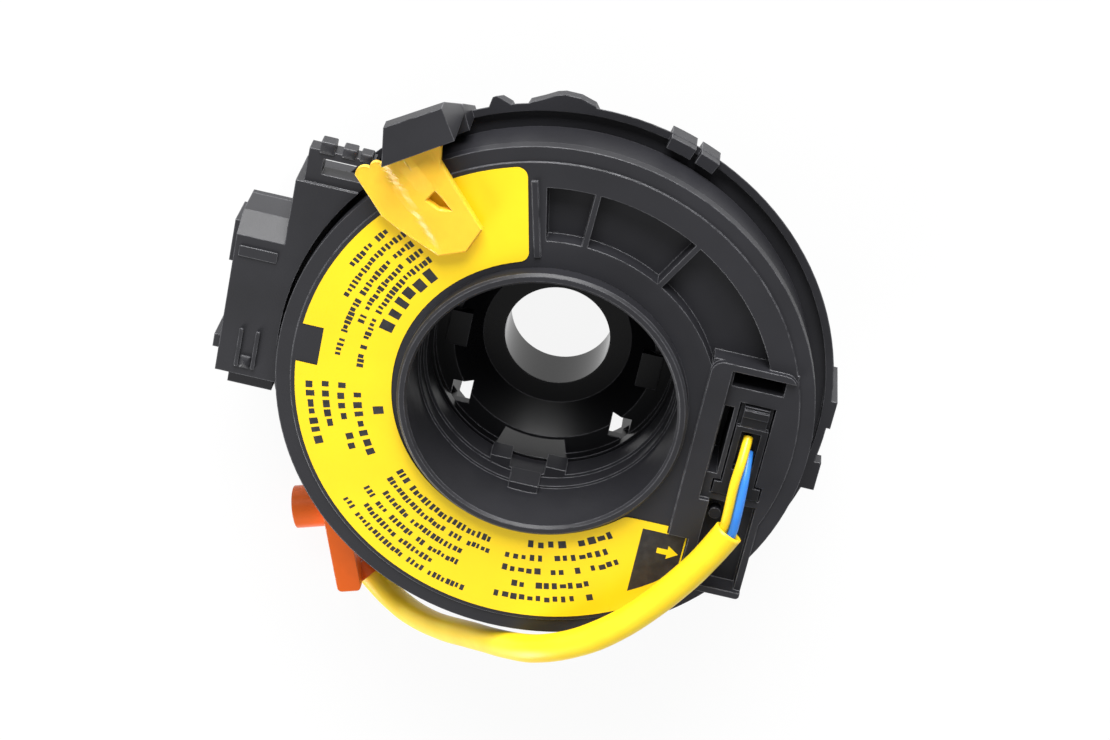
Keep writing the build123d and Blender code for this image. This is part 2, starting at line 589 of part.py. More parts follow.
# Flat cable: turns on the drum, the turn-back round a roller and the outer turn
with BuildPart() as flat_cable:
    with BuildSketch(Plane.XY.offset(CABLE_Z)):
        with BuildLine() as cable_path:
            turned = CABLE_ANGLE + 180
            half_pitch = CABLE_PITCH / 2
            CenterArc((0, 0), first_turn_r, CABLE_ANGLE, 180)
            CenterArc(polar(half_pitch, CABLE_ANGLE), first_turn_r + half_pitch, turned, 180)
            CenterArc((0, 0), last_turn_r, CABLE_ANGLE, 180)
            CenterArc(polar(roller_circle_r, turned), turn_r, CABLE_ANGLE, -180)
            CenterArc((0, 0), outer_turn_r, turned, -OUTER_SWEEP)
        trace(line_width=CABLE_T)
    extrude(amount=CABLE_W)
flat_cable.part.label = "flat_cable"
export_step(flat_cable.part, "parts/flat_cable.step")

# Case base: floor, chamber wall, collar, catches and the sockets' shell
with BuildPart() as case_base:
    with BuildSketch(Plane.XY.offset(FLOOR_Z)):
        Circle(base_out)
    extrude(amount=COVER_Z - FLOOR_Z)
    chamfer(edges().group_by(Axis.Z)[0], FLOOR_CHAMFER)
    with BuildSketch(Plane.XY.offset(SOCKET_MOUTH_Z)):
        rect(SHELL_X0, BLOCK_X1, BLOCK_Y, LAND_Y + BLOCK_WALL)
    extrude(amount=COVER_Z - SOCKET_MOUTH_Z)
    with BuildSketch(Plane.XY.offset(BLOCK_FOOT_Z)):
        rect(BLOCK_SIDE[0], BLOCK_X1, BLOCK_Y, LAND_Y + BLOCK_WALL)
    extrude(amount=COVER_Z - BLOCK_FOOT_Z)
    with BuildSketch(Plane.XY.offset(FLOOR_Z)):
        rect(SHELL_X0, BLOCK_X1, LAND_Y, SHELL_ROOT_Y)
    extrude(amount=COVER_Z - FLOOR_Z)
    with BuildSketch(Plane.XY.offset(floor_top)):
        Circle(CHAMBER_R)
    extrude(amount=COVER_Z - floor_top, mode=Mode.SUBTRACT)
    with BuildSketch(Plane.XY.offset(FLOOR_Z)):
        Circle(tube_out + RUN_FIT)
    extrude(amount=FLOOR_T, mode=Mode.SUBTRACT)
    with BuildSketch(Plane.XY.offset(FOOT_Z)):
        for arc in COLLAR_ARCS:
            sector(*COLLAR_RING, *arc)
    extrude(amount=FLOOR_Z - FOOT_Z)
    # the block's hollow over the sockets, and the way through the chamber's wall
    with BuildSketch(Plane.XY.offset(socket_top)):
        rect(SOCKET_SPANS[0][0], SOCKET_SPANS[1][1], SOCKET_Y0, SOCKET_Y1)
        rect(-TERMINAL_W / 2 - TERMINAL_GAP, TERMINAL_W / 2 + TERMINAL_GAP, SOCKET_Y0, -CHAMBER_R + 2)
    extrude(amount=COVER_Z - socket_top, mode=Mode.SUBTRACT)
    with BuildSketch(Plane.XY.offset(CABLE_Z - TERMINAL_GAP)):
        rect(-TERMINAL_W / 2 - TERMINAL_GAP, TERMINAL_W / 2 + TERMINAL_GAP, -base_out, -CHAMBER_R + 2)
    extrude(amount=COVER_Z - CABLE_Z + TERMINAL_GAP, mode=Mode.SUBTRACT)
    with BuildSketch(Plane.XY.offset(SOCKET_MOUTH_Z)):
        for span in SOCKET_SPANS:
            rect(*span, SOCKET_Y0, SOCKET_Y1)
    extrude(amount=SOCKET_FLOOR_Z - SOCKET_MOUTH_Z, mode=Mode.SUBTRACT)
    # slots for the pins in the sockets' floor
    with BuildSketch(Plane.XY.offset(SOCKET_FLOOR_Z)):
        pin_grid()
    extrude(amount=SOCKET_FLOOR_T, mode=Mode.SUBTRACT)
    # catches for the cover's clips
    for clip_angle in CLIP_ANGLES:
        catch_z = COVER_Z - CLIP_DROP + CLIP_FRAME + CATCH_GAP
        with BuildSketch(radial(clip_angle, base_out, catch_z)):
            rect(-CASE_WALL / 2, CATCH_RISE, CATCH_GAP - CLIP_WINDOW[0] / 2, CLIP_WINDOW[0] / 2 - CATCH_GAP)
        extrude(amount=CLIP_WINDOW[1] - 2 * CATCH_GAP)
case_base.part.label = "case_base"
export_step(case_base.part, "parts/case_base.step")

# Case cover: ring plate and rim, clips, hood, land and the upper part of the connector block
with BuildPart() as case_cover:
    with BuildSketch(Plane.XZ):
        outline((COVER_BORE_R, COVER_Z), (CASE_R - RIM_SLANT, COVER_Z), (CASE_R, rim_top), (COVER_BORE_R, rim_top))
    revolve(axis=Axis.Z)
    with BuildSketch(Plane.XY.offset(DETAIL_Z)):
        outline(*(polar(CASE_R + rise, angle) for rise, angle in HUMP))
        outline(*(polar(CASE_R + rise, angle) for rise, angle in FIN))
    extrude(amount=rim_top - DETAIL_Z)
    for lug_x0, lug_x1, lug_out, lug_z in (LUG_A, LUG_B):
        with BuildSketch(Plane.XY.offset(lug_z)):
            rect(lug_x0, lug_x1, CASE_R - LUG_ROOT, CASE_R + lug_out)
        extrude(amount=rim_top - lug_z)
    with BuildSketch(Plane.XY.offset(COVER_Z)):
        for tab_span in TAB_SPANS:
            sector(CASE_R - TAB_IN[0], CASE_R - TAB_IN[1], *tab_span)
    extrude(amount=TAB_Z - COVER_Z)
    # hood on its root, with a back that slants in to the rim
    with BuildSketch(Plane.XY.offset(COVER_Z)):
        outline(
            polar(rim_in, HOOD_INNER[0]), polar(hood_root_r, HOOD_INNER[0]),
            polar(hood_root_r, HOOD_INNER[1]), polar(rim_in, HOOD_INNER[1]),
        )
    extrude(amount=HOOD_ROOT_Z - COVER_Z)
    with BuildSketch(Plane.XY.offset(rim_top)):
        outline(
            polar(hood_r0, HOOD_INNER[0]), polar(hood_r1, HOOD_OUTER[0]),
            polar(hood_r1, HOOD_OUTER[1]), polar(hood_r0, HOOD_INNER[1]),
        )
    extrude(amount=HOOD_TOP - rim_top)
    hood_middle = sum(HOOD_OUTER) / 2
    hood_side = (*polar(1, hood_middle - 90), 0)
    with BuildSketch(Plane(origin=(0, 0, 0), x_dir=(*polar(1, hood_middle), 0), z_dir=hood_side)):
        outline(
            (hood_foot_r, COVER_Z - 1), (hood_foot_r, COVER_Z), (hood_r1, HOOD_EAVE_Z),
            (hood_r1 + HOOD_DEPTH, HOOD_EAVE_Z), (hood_r1 + HOOD_DEPTH, COVER_Z - 1),
        )
    extrude(amount=2 * HOOD_DEPTH, both=True, mode=Mode.SUBTRACT)
    # land and block
    with BuildSketch(Plane.XY.offset(COVER_Z)):
        rect(LAND_X0, BLOCK_X1, LAND_Y, -CASE_R / 2)
        Circle(land_r, mode=Mode.SUBTRACT)
    extrude(amount=LAND_Z - COVER_Z)
    with BuildSketch(Plane.XZ.offset(-LAND_Y)):
        outline(
            (BLOCK_SIDE[0], COVER_Z), BLOCK_SIDE, (BLOCK_X0, LAND_Z), (BLOCK_X1, LAND_Z), (BLOCK_X1, COVER_Z),
        )
    extrude(amount=LAND_Y - BLOCK_Y)
    for x0, x1, rib_y, rib_top in (RIB_A, RIB_B):
        with BuildSketch(Plane.XY.offset(COVER_Z)):
            rect(x0, x1, rib_y, BLOCK_Y + BLOCK_WALL / 2)
        extrude(amount=rib_top - COVER_Z)
    with BuildSketch(Plane.XY.offset(LEDGE_Z[0])):
        rect(LEDGE[0] - BLOCK_WALL / 2, *LEDGE[1:])
    extrude(amount=LEDGE_Z[1] - LEDGE_Z[0])
    # ear beside the land, with its slot
    with BuildSketch(Plane.XY.offset(EAR_Z[0])):
        rect(EAR[0], EAR[1] + BLOCK_WALL, *EAR[2:])
        rect(*EAR_SLOT, mode=Mode.SUBTRACT)
        Circle(land_r, mode=Mode.SUBTRACT)
    extrude(amount=EAR_Z[1] - EAR_Z[0])
    # groove round the rotor's skirt, and the hollow of land and block
    with BuildSketch(Plane.XY.offset(plate_top)):
        Circle(rim_in)
        rect(LAND_X0, BLOCK_X1, -CASE_R, -land_r / 2, mode=Mode.SUBTRACT)
        Circle(land_r)
    extrude(amount=rim_top - plate_top, mode=Mode.SUBTRACT)
    with BuildSketch(Plane.XY.offset(COVER_Z)):
        rect(LAND_X0 + BLOCK_WALL, BLOCK_X1 - BLOCK_WALL, LAND_Y + BLOCK_WALL, -CASE_R / 2)
        Circle(land_r + BLOCK_WALL, mode=Mode.SUBTRACT)
        rect(BLOCK_X0 + BLOCK_WALL / 4, BLOCK_X1 - BLOCK_WALL, BLOCK_Y + BLOCK_WALL, LAND_Y + BLOCK_WALL)
    extrude(amount=LAND_Z - BLOCK_WALL - COVER_Z, mode=Mode.SUBTRACT)
    # clips, each a plate with a window over its catch
    for clip_angle in CLIP_ANGLES:
        with BuildSketch(radial(clip_angle, clip_r, COVER_Z + COVER_T / 2)):
            rect(0, CLIP_T, -CLIP_W / 2, CLIP_W / 2)
        extrude(amount=-CLIP_DROP - COVER_T / 2)
        with BuildSketch(radial(clip_angle, clip_r, COVER_Z - CLIP_DROP + CLIP_FRAME)):
            rect(-CLIP_T, 2 * CLIP_T, -CLIP_WINDOW[0] / 2, CLIP_WINDOW[0] / 2)
        extrude(amount=CLIP_WINDOW[1], mode=Mode.SUBTRACT)
    # the hood's mouth, in the stopper's direction
    with BuildSketch(radial(STOPPER_ANGLE, 0, mouth_z)):
        rect(tongue_tip - TONGUE_FIT, -CASE_R, TONGUE_V[0] - TONGUE_FIT, TONGUE_V[1] + TONGUE_FIT)
    extrude(amount=mouth_h, mode=Mode.SUBTRACT)
case_cover.part.label = "case_cover"
export_step(case_cover.part, "parts/case_cover.step")

# Stopper: a plate whose tongue locks under the hood, with finger lobes and a pointed window
with BuildPart() as stopper:
    with BuildSketch(radial(STOPPER_ANGLE, 0, stopper_z)):
        with BuildLine():
            Polyline(
                (lobe_u + 1.0, 2.0), (lobe_u + 0.7, TONGUE_V[0]), (tongue_tip, TONGUE_V[0]),
                (tongue_tip, TONGUE_V[1]), (lobe_u + 1.5, TONGUE_V[1]), (lobe_u + 3.1, 11.2), (-52.8, 9.3),
                (-37.1, 9.3), (-34.7, 4.3), (-36.5, -0.8), (-44.2, -4.4), (-48.5, -6.0), (lobe_u + 2.7, -6.0),
            )
            ThreePointArc((lobe_u + 2.7, -6.0), (lobe_u - 0.8, -5.2), (lobe_u, -3.0))
            ThreePointArc((lobe_u, -3.0), (lobe_u - 0.5, -1.7), (lobe_u + 0.9, -0.6))
            ThreePointArc((lobe_u + 0.9, -0.6), (lobe_u + 0.6, 0.8), (lobe_u + 1.0, 2.0))
        make_face()
        outline((-47.2, 3.2), (-48.0, 5.6), (-43.4, 6.2), (-44.6, 4.4), mode=Mode.SUBTRACT)
    extrude(amount=STOPPER_T)
stopper.part.label = "stopper"
export_step(stopper.part, "parts/stopper.step")

# Socket insert that holds the pins, seated on the sockets' floor
with BuildPart() as socket_insert:
    with BuildSketch(Plane.XY.offset(socket_top)):
        rect(
            SOCKET_SPANS[0][0] + TERMINAL_GAP, SOCKET_SPANS[1][1] - TERMINAL_GAP,
            SOCKET_Y0 + TERMINAL_GAP, SOCKET_Y1 - TERMINAL_GAP,
        )
        pin_grid(mode=Mode.SUBTRACT)
    extrude(amount=INSERT_T)
socket_insert.part.label = "socket_insert"
export_step(socket_insert.part, "parts/socket_insert.step")

# Terminal pins, from the sockets up to the outer terminal
with BuildPart() as terminal_pins:
    with BuildSketch(Plane.XY.offset(PIN_TIP_Z)):
        pin_grid()
    extrude(amount=socket_top + INSERT_T - PIN_TIP_Z)
terminal_pins.part.label = "terminal_pins"
export_step(terminal_pins.part, "parts/terminal_pins.step")

# Outer terminal: a card in the chamber's wall and an arm over the pins
with BuildPart() as outer_terminal:
    with BuildSketch(Plane.XY.offset(CABLE_Z)):
        rect(-TERMINAL_W / 2, TERMINAL_W / 2, TERMINAL_GAP - base_out, -CHAMBER_R + 1)
        Circle(outer_turn_r + CABLE_T / 2 + TERMINAL_GAP, mode=Mode.SUBTRACT)
    extrude(amount=COVER_Z - TERMINAL_GAP - CABLE_Z)
    with BuildSketch(Plane.XY.offset(socket_top + INSERT_T)):
        rect(-TERMINAL_W / 2, TERMINAL_W / 2, SOCKET_Y1 - 1, -CHAMBER_R - 0.5)
        rect(
            SOCKET_SPANS[0][0] + TERMINAL_GAP, SOCKET_SPANS[1][1] - TERMINAL_GAP,
            SOCKET_Y0 + TERMINAL_GAP, SOCKET_Y1 - TERMINAL_GAP,
        )
    extrude(amount=TERMINAL_T)
outer_terminal.part.label = "outer_terminal"
export_step(outer_terminal.part, "parts/outer_terminal.step")

# Slide sheet on the case floor
with BuildPart() as slide_sheet:
    with BuildSketch(Plane.XY.offset(floor_top)):
        Circle(CHAMBER_R - CASE_WALL)
        Circle(tube_out + CASE_WALL, mode=Mode.SUBTRACT)
    extrude(amount=SHEET_T)
slide_sheet.part.label = "slide_sheet"
export_step(slide_sheet.part, "parts/slide_sheet.step")

# Carrier ring with a pin for each roller
with BuildPart() as roller_carrier:
    with BuildSketch(Plane.XY.offset(carrier_z)):
        Circle(roller_circle_r + CARRIER_W / 2)
        Circle(roller_circle_r - CARRIER_W / 2, mode=Mode.SUBTRACT)
    extrude(amount=CARRIER_T)
    with BuildSketch(Plane.XY.offset(carrier_z)):
        with PolarLocations(roller_circle_r, ROLLER_COUNT):
            Circle(PIN_R)
    extrude(amount=CARRIER_T + CARRIER_GAP + ROLLER_H)
    with BuildSketch(Plane.XY.offset(carrier_z + CARRIER_T)):
        with PolarLocations(roller_circle_r, ROLLER_COUNT):
            Circle(ROLLER_HUB_R)
    extrude(amount=CARRIER_GAP / 2)
roller_carrier.part.label = "roller_carrier"
export_step(roller_carrier.part, "parts/roller_carrier.step")

# Rollers, each a rim and a hub joined by a web with holes
for number in range(ROLLER_COUNT):
    with BuildPart() as roller:
        with BuildSketch(radial(CABLE_ANGLE + number * 360 / ROLLER_COUNT, roller_circle_r, roller_z)):
            Circle(roller_r)
            Circle(roller_r - ROLLER_RIM, mode=Mode.SUBTRACT)
            Circle(ROLLER_HUB_R)
            Circle(PIN_R + PIN_FIT, mode=Mode.SUBTRACT)
        extrude(amount=ROLLER_H)
        web_z = roller_z + (ROLLER_H - ROLLER_WEB) / 2
        with BuildSketch(radial(CABLE_ANGLE + number * 360 / ROLLER_COUNT, roller_circle_r, web_z)):
            Circle(roller_r - ROLLER_RIM / 2)
            Circle(ROLLER_HUB_R - ROLLER_RIM / 2, mode=Mode.SUBTRACT)
            with PolarLocations((roller_r + ROLLER_HUB_R) / 2 - ROLLER_RIM / 2, ROLLER_HOLES):
                Circle(ROLLER_HOLE_R, mode=Mode.SUBTRACT)
        extrude(amount=ROLLER_WEB)
    roller.part.label = f"roller_{number + 1}"
    export_step(roller.part, f"parts/roller_{number + 1}.step")

# Sleeve over the lead's wires
with BuildPart() as lead_sleeve:
    with BuildLine():
        sleeve_line = FilletPolyline(*SLEEVE_ROUTE, radius=route_radii(SLEEVE_ROUTE))
    with BuildSketch(start_plane(SLEEVE_ROUTE)):
        Circle(SLEEVE_R)
        Circle(SLEEVE_BORE_R, mode=Mode.SUBTRACT)
    sweep()
lead_sleeve.part.label = "lead_sleeve"
export_step(lead_sleeve.part, "parts/lead_sleeve.step")

# The two wires between plug and sleeve
for wire_name, wire_route in (("wire_yellow", YELLOW_ROUTE), ("wire_blue", BLUE_ROUTE)):
    with BuildPart() as wire:
        with BuildLine():
            FilletPolyline(*wire_route, radius=route_radii(wire_route))
        with BuildSketch(start_plane(wire_route)):
            Circle(WIRE_R)
        sweep()
    wire.part.label = wire_name
    export_step(wire.part, f"parts/{wire_name}.step")

for route_name, route in (("sleeve", SLEEVE_ROUTE), ("yellow wire", YELLOW_ROUTE), ("blue wire", BLUE_ROUTE)):
    print(route_name, "radii", [round(radius, 1) for radius in route_radii(route)])
print("sleeve length", round(sleeve_line.length, 1))

# Airbag plug: a flat body on its edge, a collar round the lead and a round barrel with its key
squib_frame = Plane(origin=(*SQUIB_START, FOOT_Z), x_dir=(*polar(1, SQUIB_ANGLE), 0), z_dir=(0, 0, 1))
with BuildPart() as squib_plug:
    with BuildSketch(squib_frame):
        rect(0, SQUIB_L, -SQUIB_T / 2, SQUIB_T / 2)
        fillet(vertices(), SQUIB_T / 5)
    extrude(amount=SQUIB_H)
    exit_run = Vector(*SLEEVE_ROUTE[-2]) - Vector(*SLEEVE_ROUTE[-1])
    with BuildSketch(Plane(origin=SLEEVE_ROUTE[-1], z_dir=exit_run)):
        Circle(COLLAR_R)
    extrude(amount=COLLAR_L / 2, both=True)
    barrel_x = SQUIB_L - BARREL_R
    barrel_frame = Plane(
        origin=squib_frame.from_local_coords((barrel_x, 0, SQUIB_H / 2)),
        z_dir=squib_frame.y_dir,
    )
    with BuildSketch(barrel_frame):
        Circle(BARREL_R)
    extrude(amount=SQUIB_T / 2 + BARREL_L)
    with BuildSketch(barrel_frame.offset(SQUIB_T / 2 + BARREL_L)):
        Circle(BARREL_BORE_R)
    extrude(amount=-BARREL_BORE_L, mode=Mode.SUBTRACT)
    with BuildSketch(Plane(origin=SLEEVE_ROUTE[-1], z_dir=exit_run)):
        Circle(SLEEVE_R)
    extrude(amount=COLLAR_L, mode=Mode.SUBTRACT)
squib_plug.part.label = "squib_plug"
export_step(squib_plug.part, "parts/squib_plug.step")

# Lock of the airbag plug, a clip over the back of the barrel
with BuildPart() as squib_lock:
    with BuildSketch(Plane(origin=barrel_frame.origin - squib_frame.y_dir * SQUIB_T / 2, z_dir=-squib_frame.y_dir)):
        Rectangle(CAP_SIZE[0], CAP_SIZE[2])
    extrude(amount=CAP_SIZE[1])
squib_lock.part.label = "squib_lock"
export_step(squib_lock.part, "parts/squib_lock.step")
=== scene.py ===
"""Steering clock spring with its airbag lead, dressed on the frame of its CAD solids.

Metres: sizes are written in millimetres and times MM. The Z axis is the steering axis and the origin
is the centre of the shaft bore at its rear end. The sections follow the unit's assembly.
"""

import bpy
import numpy as np
from mathutils import Matrix


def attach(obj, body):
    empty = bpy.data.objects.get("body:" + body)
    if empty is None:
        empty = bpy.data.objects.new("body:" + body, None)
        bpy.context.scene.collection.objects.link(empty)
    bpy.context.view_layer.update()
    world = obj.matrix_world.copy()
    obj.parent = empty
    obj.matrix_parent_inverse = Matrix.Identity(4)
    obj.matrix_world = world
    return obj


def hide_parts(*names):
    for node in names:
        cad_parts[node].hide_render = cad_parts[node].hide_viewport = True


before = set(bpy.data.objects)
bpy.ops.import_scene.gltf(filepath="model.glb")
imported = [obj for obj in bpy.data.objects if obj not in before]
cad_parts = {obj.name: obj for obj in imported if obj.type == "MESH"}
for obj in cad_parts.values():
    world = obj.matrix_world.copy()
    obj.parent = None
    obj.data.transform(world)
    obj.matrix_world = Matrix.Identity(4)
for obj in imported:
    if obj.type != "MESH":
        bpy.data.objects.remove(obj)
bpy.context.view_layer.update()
MM = 0.001


# Case base: the cable chamber with its floor, collar and sockets, one black moulding. Its texture is
# spark-eroded, and in stretches its edges are smoother and painted lighter: partly wear where hands and
# tools have touched them, partly a painted highlight.
class Flow:
    """A value in a material's nodes. Arithmetic signs on it add Math nodes."""

    def __init__(self, paint, socket):
        self.paint = paint
        self.socket = socket

    def __add__(self, other):
        return self.paint.maths("ADD", self, other)

    def __sub__(self, other):
        return self.paint.maths("SUBTRACT", self, other)

    def __rsub__(self, other):
        return self.paint.maths("SUBTRACT", other, self)

    def __mul__(self, other):
        return self.paint.maths("MULTIPLY", self, other)

    __radd__ = __add__
    __rmul__ = __mul__

    def ramp(self, low, high):
        """The value from 0 at low to 1 at high, held between them."""
        return self.paint.node("ShaderNodeMapRange", {}, {
            "Value": self, "From Min": low, "From Max": high})


class Paint:
    """The nodes of a material or a world in the making."""

    def __init__(self, owner):
        self.owner = owner
        owner.use_nodes = True
        self.tree = owner.node_tree
        self.tree.nodes.clear()

    def node(self, kind, settings=None, sockets=None, output=0):
        """Adds one node: its settings first, then its sockets' values or links."""
        item = self.tree.nodes.new(kind)
        for name, value in (settings or {}).items():
            setattr(item, name, value)
        for name, value in (sockets or {}).items():
            if isinstance(value, Flow):
                self.tree.links.new(value.socket, item.inputs[name])
            else:
                item.inputs[name].default_value = value
        return Flow(self, item.outputs[output]) if item.outputs else None

    def maths(self, operation, *values):
        """The result of one Math node on the values."""
        return self.node("ShaderNodeMath", {"operation": operation}, dict(enumerate(values)))

    def vector(self, operation, first, second, output="Vector"):
        """The result of one Vector Math node on two vectors."""
        return self.node("ShaderNodeVectorMath", {"operation": operation}, {0: first, 1: second}, output)

    def place(self):
        """The object's own coordinates, in metres."""
        return self.node("ShaderNodeTexCoord", output="Object")

    def noise(self, scale, detail=2.0, offset=0.0):
        """Cloudy values around a half, with features about one over scale metres across."""
        moved = self.node("ShaderNodeMapping", {}, {
            "Vector": self.place(), "Location": (offset, offset, offset)})
        return self.node("ShaderNodeTexNoise", {}, {"Vector": moved, "Scale": scale, "Detail": detail})

    def blend(self, amount, first, second):
        """Goes from the first colour to the second by the amount."""
        return self.node("ShaderNodeMix", {"data_type": "RGBA"}, {
            0: amount, 6: first, 7: second}, output=2)

    def rounded(self, radius):
        """The surface's normal with its edges rounded to a radius."""
        return self.node("ShaderNodeBevel", {"samples": 4}, {"Radius": radius})

    def edge(self, rounded):
        """How far the rounded normal leaves the flat one: one less their cosine."""
        flat = self.node("ShaderNodeNewGeometry", output="Normal")
        return 1 - self.vector("DOT_PRODUCT", rounded, flat, output="Value")

    def bump(self, height, depth, normal=None):
        """The normal tilted by a height that spans the depth in metres."""
        sockets = {"Height": height, "Distance": depth, "Strength": 1.0}
        if normal is not None:
            sockets["Normal"] = normal
        return self.node("ShaderNodeBump", {}, sockets)

    def finish(self, **sockets):
        """Joins the surface's sockets to a principled shader and gives the material."""
        named = {name.replace("_", " "): value for name, value in sockets.items()}
        shader = self.node("ShaderNodeBsdfPrincipled", {}, named)
        self.node("ShaderNodeOutputMaterial", {}, {"Surface": shader})
        return self.owner


def new_paint(name):
    """A new material to paint."""
    return Paint(bpy.data.materials.new(name))


def moulded(name, colour, highlight_and_wear_colour, roughness, grain_depth=0.012 * MM, polished_r=0.0):
    """Moulded plastic: a fine grain and a cloudy sheen. Its edges are rounded by their normals, and in
    stretches picked by a noise they are smoother and painted lighter: partly wear, partly a painted
    highlight along the edges. Inside the polished radius round the axis the walls are smooth, as the tool's
    core leaves them."""
    paint = new_paint(name)
    grain = paint.noise(scale=3200, detail=3)
    cloud = paint.noise(scale=55, detail=3, offset=0.7)
    rounded = paint.rounded(0.3 * MM)
    edge = paint.edge(rounded).ramp(0.006, 0.14)
    # In noisy stretches the edges are painted towards the lighter edge colour: partly wear, partly a painted
    # highlight.
    wear_and_highlight = edge * paint.noise(scale=420, detail=3, offset=1.3).ramp(0.25, 0.55)
    darker = tuple(0.70 * part for part in colour)
    tone = paint.blend(cloud.ramp(0.35, 0.7), (*colour, 1), (*darker, 1))
    sheen = roughness + 0.10 * (cloud - 0.5) + 0.10 * (grain - 0.5) - 0.10 * edge
    if polished_r:
        flat_place = paint.vector("MULTIPLY", paint.place(), (1, 1, 0))
        reach = paint.node(
            "ShaderNodeVectorMath", {"operation": "LENGTH"}, {0: flat_place}, output="Value")
        sheen = sheen * (0.35 + 0.65 * reach.ramp(polished_r, 1.04 * polished_r))
    return paint.finish(
        Base_Color=paint.blend(0.85 * wear_and_highlight, tone, (*highlight_and_wear_colour, 1)),
        Roughness=sheen,
        Normal=paint.bump(grain, grain_depth, rounded),
        Specular_IOR_Level=0.36,
    )


def dress(material, *nodes):
    """Gives CAD nodes their material."""
    for node in nodes:
        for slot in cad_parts[node].material_slots:
            slot.material = material


case_black = moulded("case_black", (0.026, 0.026, 0.030), (0.21, 0.21, 0.225), 0.40, 0.016 * MM)
dress(case_black, "case_base")

# Slide sheet: a thin film on the chamber's floor, on which the carrier slides without noise. Milky
# polyester, laid in loose.
dress(moulded("sheet_film", (0.70, 0.68, 0.62), (0.80, 0.78, 0.74), 0.30, 0.004 * MM), "slide_sheet")

# Carrier and rollers: a ring with six pins and a roller on each, which lead the cable's turn-back
# round. Natural acetal, because it runs dry.
natural_acetal = moulded("natural_acetal", (0.72, 0.71, 0.66), (0.82, 0.81, 0.77), 0.42, 0.008 * MM)
dress(natural_acetal, "roller_carrier", *(f"roller_{number}" for number in range(1, 7)))

# Flat cable: copper tracks laminated between two films, wound on the drum and turned back round a
# roller. The tracks run along it, so they show as bands across its height.
TRACKS = 2600            # radians of a sine per metre of height, so a track every 2.4 mm
cable_paint = new_paint("cable_film")
cable_height = cable_paint.node(
    "ShaderNodeSeparateXYZ", {}, {"Vector": cable_paint.place()}, output="Z")
track = cable_paint.maths("SINE", cable_height * TRACKS).ramp(0.0, 0.35)
dress(cable_paint.finish(
    Base_Color=cable_paint.blend(track, (0.55, 0.50, 0.42, 1), (0.62, 0.30, 0.12, 1)),
    Roughness=0.28 + 0.15 * cable_paint.noise(scale=300),
    Metallic=0.35 * track,
), "flat_cable")

# Terminals: the cable's inner end goes up in a natural nylon holder to the lead's plug, and its outer
# end in a black one over the sockets. A natural insert holds the sockets' pins, which are tinned brass.
insert_natural = moulded("insert_natural", (0.62, 0.60, 0.54), (0.74, 0.73, 0.69), 0.48)
dress(insert_natural, "inner_terminal", "socket_insert")
dress(case_black, "outer_terminal")
pin_paint = new_paint("tinned_pins")
pin_cloud = pin_paint.noise(scale=900, detail=3)
dress(pin_paint.finish(
    Base_Color=pin_paint.blend(pin_cloud, (0.80, 0.77, 0.70, 1), (0.66, 0.62, 0.54, 1)),
    Roughness=0.22 + 0.2 * pin_cloud,
    Metallic=1.0,
), "terminal_pins")

# Case cover: the same black moulding as the base, clipped on it. Small mouldings that are one with it
# are laid on here: three bumps on the ear, and a latch and a step on the connector block.
dress(case_black, "case_cover")


def surface_piece(name, points, faces, material, body, smooth=True):
    """Makes a piece of points and faces and hangs it on a body."""
    mesh = bpy.data.meshes.new(name)
    mesh.from_pydata(points.tolist(), [], faces)
    mesh.polygons.foreach_set("use_smooth", np.full(len(mesh.polygons), smooth))
    mesh.materials.append(material)
    mesh.validate()
    piece = bpy.data.objects.new(name, mesh)
    bpy.context.scene.collection.objects.link(piece)
    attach(piece, body)
    return piece


def plate(name, outline, middle, low, high, material, body, slot, lift=0.0):
    """A closed plate over an outline, in millimetres, that is seen whole from a middle point. Its rings
    go from the outline inwards by shares of the way to the middle, and lift raises them by one less
    the share's square."""
    ring = np.array(outline)
    count = len(ring)
    share = np.array((0.75, 0.5, 0.25))
    reach = np.concatenate(((1.0, 1.0), share))[:, None, None]
    level = np.concatenate(((low, high), high + lift * (1 - share ** 2)))[:, None, None]
    rings = np.concatenate((middle + reach * (ring - middle), np.broadcast_to(level, (5, count, 1))), axis=2)
    points = np.concatenate((rings.reshape(-1, 3), [(*middle, low), (*middle, high + lift)]))
    column = np.arange(count)
    beside = (column + 1) % count
    step = count * np.arange(4)[:, None]
    walls = np.stack((step + column, step + beside, step + count + beside, step + count + column), axis=-1)
    foot = np.stack((beside, column, np.full(count, 5 * count)), axis=-1)
    roof = np.stack((4 * count + column, 4 * count + beside, np.full(count, 5 * count + 1)), axis=-1)
    faces = walls.reshape(-1, 4).tolist() + foot.tolist() + roof.tolist()
    return surface_piece(name, MM * points, faces, material, body, smooth=False)


def rounded_block(x0, x1, y0, y1, radius):
    """The outline of a rectangle with rounded corners: each corner is a quarter turn of a circle."""
    turn = np.radians(np.arange(0, 360, 15) + 7.5)
    near_x, near_y = (x1 - x0) / 2 - radius, (y1 - y0) / 2 - radius
    return np.column_stack((
        (x0 + x1) / 2 + near_x * np.sign(np.cos(turn)) + radius * np.cos(turn),
        (y0 + y1) / 2 + near_y * np.sign(np.sin(turn)) + radius * np.sin(turn)))


